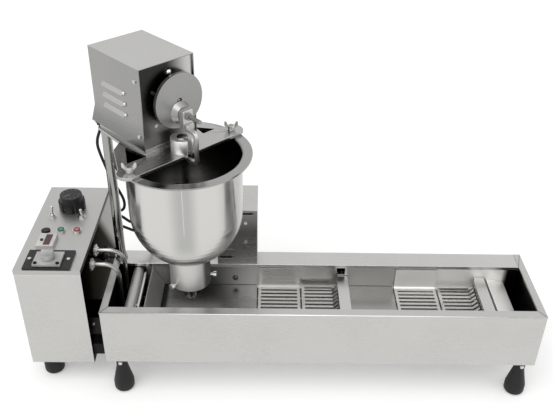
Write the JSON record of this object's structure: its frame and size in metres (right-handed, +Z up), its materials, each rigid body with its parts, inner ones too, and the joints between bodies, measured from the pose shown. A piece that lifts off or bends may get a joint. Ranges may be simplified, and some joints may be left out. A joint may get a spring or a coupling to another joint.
{
  "type": "donut fryer",
  "caption": "Automatic ring donut fryer: long oil tank with turning baskets, forming hopper with crank-driven plunger on a post, and a side control box.",
  "frame": {"origin": "on the floor, at the middle of the machine's box seen from above", "axes": "+X along the tank towards the exit end, +Y towards the back, +Z up"},
  "size_m": [1.043, 0.3816, 0.701],
  "materials": {
    "brushed_steel": "brushed stainless sheet",
    "polished_steel": "polished stainless",
    "dark_steel": "dark satin plate",
    "black_rubber": "moulded, satin",
    "black_paint": "satin black",
    "black_plastic": "moulded",
    "white_plastic": "moulded",
    "green_plastic": "moulded",
    "red_plastic": "moulded",
    "grey_plastic": "moulded",
    "motor_grey": "satin paint",
    "cable_black": "cable sheath"
  },
  "bodies": {
    "machine": {"tank_casing": "brushed_steel", "oil_pan": "brushed_steel", "rear_ledge": "brushed_steel", "floor_plates": "brushed_steel", "fixed_grid_left": "brushed_steel", "fixed_grid_right": "brushed_steel", "exit_chute": "brushed_steel", "heater_guard": "brushed_steel", "drive_housing": "brushed_steel", "control_box": "brushed_steel", "control_panel": "brushed_steel", "box_back_cover": "brushed_steel", "head_plate": "brushed_steel", "head_cover": "brushed_steel", "heater_element": "polished_steel", "heater_nuts": "polished_steel", "thermostat_bulb": "polished_steel", "toggle_bodies": "polished_steel", "button_bodies": "polished_steel", "cover_screws": "polished_steel", "post": "polished_steel", "guide_bush": "polished_steel", "hopper": "polished_steel", "nozzle": "polished_steel", "head_front": "dark_steel", "tank_feet": "black_rubber", "box_feet": "black_rubber", "box_brackets": "black_paint", "contactor": "black_plastic", "thermostat": "motor_grey", "counter_housing": "grey_plastic", "switch_plate": "black_plastic", "switch_face": "white_plastic", "forming_motor": "motor_grey", "drive_motor": "motor_grey", "cable_glands": "black_plastic", "head_cable": "cable_black", "drive_cable": "cable_black"},
    "crank": {"crank_disc": "polished_steel"},
    "link": {"crank_block": "polished_steel"},
    "plunger": {"plunger": "polished_steel", "plunger_strap": "polished_steel"},
    "drive": {"drive_lever": "polished_steel"},
    "tie": {"tie_rod": "polished_steel"},
    "flip": {"flip_basket": "brushed_steel", "flip_shaft": "polished_steel"},
    "exit": {"exit_basket": "brushed_steel", "exit_shaft": "polished_steel"},
    "knob": {"temperature_knob": "black_plastic"},
    "handle": {"switch_handle": "white_plastic"},
    "toggle_left": {"toggle_lever_left": "polished_steel"},
    "toggle_right": {"toggle_lever_right": "polished_steel"},
    "start": {"start_button": "green_plastic"},
    "stop": {"stop_button": "red_plastic"},
    "black_key": {"black_button": "black_plastic"},
    "counter_key": {"counter_button": "black_plastic"},
    "wing_left": {"wing_nut_left": "polished_steel"},
    "wing_right": {"wing_nut_right": "polished_steel"},
    "thumb_right": {"thumb_screw_right": "polished_steel"},
    "thumb_front": {"thumb_screw_front": "polished_steel"}
  },
  "joints": [
    {"name": "crank_turn", "type": "hinge", "parent": "machine", "child": "crank", "pos_m": [-0.18074, -0.05819, 0.628], "axis": [0.6947, -0.7193, 0], "range_deg": [0, 180]},
    {"name": "link_pivot", "type": "hinge", "parent": "crank", "child": "link", "pos_m": [-0.18074, -0.05819, 0.606], "axis": [0.6947, -0.7193, 0], "range_deg": [-180, 0]},
    {"name": "plunger_slide", "type": "slide", "parent": "machine", "child": "plunger", "axis": [0, 0, 1], "range_m": [0, 0.044]},
    {"name": "basket_drive", "type": "hinge", "parent": "machine", "child": "drive", "pos_m": [-0.0765, 0.02575, 0.186], "axis": [0, 1, 0], "range_deg": [0, 150]},
    {"name": "tie_pivot", "type": "hinge", "parent": "drive", "child": "tie", "pos_m": [-0.04752, 0.02575, 0.17824], "axis": [0, 1, 0], "range_deg": [-150, 0]},
    {"name": "flip_turn", "type": "hinge", "parent": "machine", "child": "flip", "pos_m": [0.13116, -0.06425, 0.186], "axis": [0, 1, 0], "range_deg": [0, 150]},
    {"name": "exit_turn", "type": "hinge", "parent": "machine", "child": "exit", "pos_m": [0.42523, -0.06425, 0.186], "axis": [0, 1, 0], "range_deg": [0, 150]},
    {"name": "temperature_turn", "type": "hinge", "parent": "machine", "child": "knob", "pos_m": [-0.4555, 0.09979, 0.301], "axis": [0, 0, -1], "range_deg": [0, 270]},
    {"name": "switch_turn", "type": "hinge", "parent": "machine", "child": "handle", "pos_m": [-0.4575, -0.09586, 0.311], "axis": [0, 0, -1], "range_deg": [0, 90]},
    {"name": "toggle_left_tilt", "type": "hinge", "parent": "machine", "child": "toggle_left", "pos_m": [-0.4895, 0.0607, 0.3059], "axis": [1, 0, 0], "range_deg": [0, 36]},
    {"name": "toggle_right_tilt", "type": "hinge", "parent": "machine", "child": "toggle_right", "pos_m": [-0.4265, 0.0607, 0.3059], "axis": [1, 0, 0], "range_deg": [-36, 0]},
    {"name": "start_press", "type": "slide", "parent": "machine", "child": "start", "axis": [0, 0, -1], "range_m": [0, 0.003], "stiffness_N_per_m": 400},
    {"name": "stop_press", "type": "slide", "parent": "machine", "child": "stop", "axis": [0, 0, -1], "range_m": [0, 0.003], "stiffness_N_per_m": 400},
    {"name": "black_press", "type": "slide", "parent": "machine", "child": "black_key", "axis": [0, 0, -1], "range_m": [0, 0.003], "stiffness_N_per_m": 400},
    {"name": "counter_press", "type": "slide", "parent": "machine", "child": "counter_key", "axis": [0, 0, -1], "range_m": [0, 0.0018], "stiffness_N_per_m": 400},
    {"name": "wing_left_turn", "type": "hinge", "parent": "machine", "child": "wing_left", "pos_m": [-0.2703, -0.14468, 0.54], "axis": [0, 0, 1], "continuous": true},
    {"name": "wing_right_turn", "type": "hinge", "parent": "machine", "child": "wing_right", "pos_m": [-0.1027, 0.01718, 0.54], "axis": [0, 0, 1], "continuous": true},
    {"name": "thumb_right_turn", "type": "hinge", "parent": "machine", "child": "thumb_right", "pos_m": [-0.14655, -0.06584, 0.252], "axis": [0.9986, -0.0523, 0], "continuous": true},
    {"name": "thumb_front_turn", "type": "hinge", "parent": "machine", "child": "thumb_front", "pos_m": [-0.21327, -0.09348, 0.246], "axis": [-0.6691, -0.7431, 0], "continuous": true}
  ],
  "couplings": [
    {"joint": "link_pivot", "follows": "crank_turn", "ratio": -1},
    {"joint": "plunger_slide", "follows": "crank_turn", "m_per_rad": 0.014006},
    {"joint": "tie_pivot", "follows": "basket_drive", "ratio": -1},
    {"joint": "flip_turn", "follows": "basket_drive", "ratio": 1},
    {"joint": "exit_turn", "follows": "basket_drive", "ratio": 1}
  ]
}
